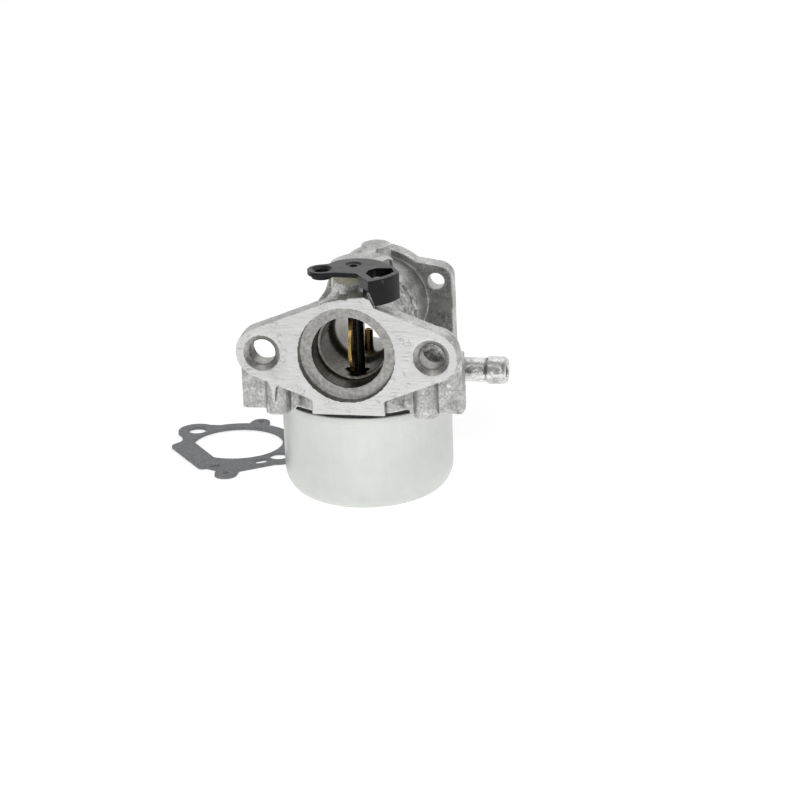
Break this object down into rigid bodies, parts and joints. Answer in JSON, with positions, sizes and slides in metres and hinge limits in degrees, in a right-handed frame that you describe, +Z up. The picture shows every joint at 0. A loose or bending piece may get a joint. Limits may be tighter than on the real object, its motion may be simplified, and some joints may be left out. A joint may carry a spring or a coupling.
{
  "type": "carburetor",
  "caption": "Small-engine float carburetor: die-cast body with engine and air-cleaner flanges, barbed fuel inlet, steel float bowl, plastic throttle lever and a loose fibre gasket.",
  "frame": {"origin": "centre of the bore at the engine flange face", "axes": "+Y along the bore from the engine side to the air-cleaner side, +X towards the fuel inlet, +Z up, the bowl hanging below"},
  "size_m": [0.098, 0.0698, 0.0645],
  "materials": {
    "cast_aluminium": "die cast, satin, with machined faces",
    "plated_steel": "bright zinc plated, satin",
    "black_plastic": "moulded, matte",
    "brass": "machined",
    "nut_brass": "machined, dull",
    "plug_metal": "pressed, satin",
    "bright_steel": "ground, bright",
    "needle_metal": "turned",
    "seal_rubber": "black nitrile",
    "float_plastic": "moulded, matte",
    "fibre_washer": "pressed fibre",
    "felt": "dense felt",
    "gasket_fibre": "compressed fibre sheet"
  },
  "bodies": {
    "casting": {"carburetor_body": "cast_aluminium", "main_nozzle": "brass", "nozzle_o_ring": "seal_rubber", "main_jet": "brass", "pilot_jet": "brass", "air_bleed_jets": "brass", "idle_chamber_plug": "plug_metal", "passage_ball_plug": "bright_steel", "inlet_seat": "brass", "float_hinge_pin": "bright_steel", "float_bowl": "plated_steel", "bowl_seal": "seal_rubber", "bowl_nut": "nut_brass", "bowl_nut_washer": "fibre_washer", "throttle_felt_seal": "felt"},
    "throttle": {"throttle_shaft": "black_plastic", "throttle_plate": "brass"},
    "float": {"float_shell": "float_plastic", "float_lid": "float_plastic"},
    "needle": {"inlet_needle": "needle_metal", "needle_tip": "seal_rubber", "needle_clip": "bright_steel"},
    "gasket": {"air_cleaner_gasket": "gasket_fibre"}
  },
  "joints": [
    {"name": "throttle_turn", "type": "hinge", "parent": "casting", "child": "throttle", "pos_m": [0, 0.0132, 0], "axis": [0, 0, 1], "range_deg": [0, 76]},
    {"name": "float_hinge", "type": "hinge", "parent": "casting", "child": "float", "pos_m": [0.018, 0.02275, -0.0196], "axis": [0, 1, 0], "range_deg": [0, 6]},
    {"name": "needle_lift", "type": "slide", "parent": "casting", "child": "needle", "axis": [0, 0, 1], "range_m": [0, 0.00053]},
    {"name": "gasket_slide", "type": "slide", "parent": "casting", "child": "gasket", "axis": [-1, 0, 0], "range_m": [0, 0.03]}
  ],
  "couplings": [
    {"joint": "needle_lift", "follows": "float_hinge", "m_per_rad": 0.005}
  ]
}
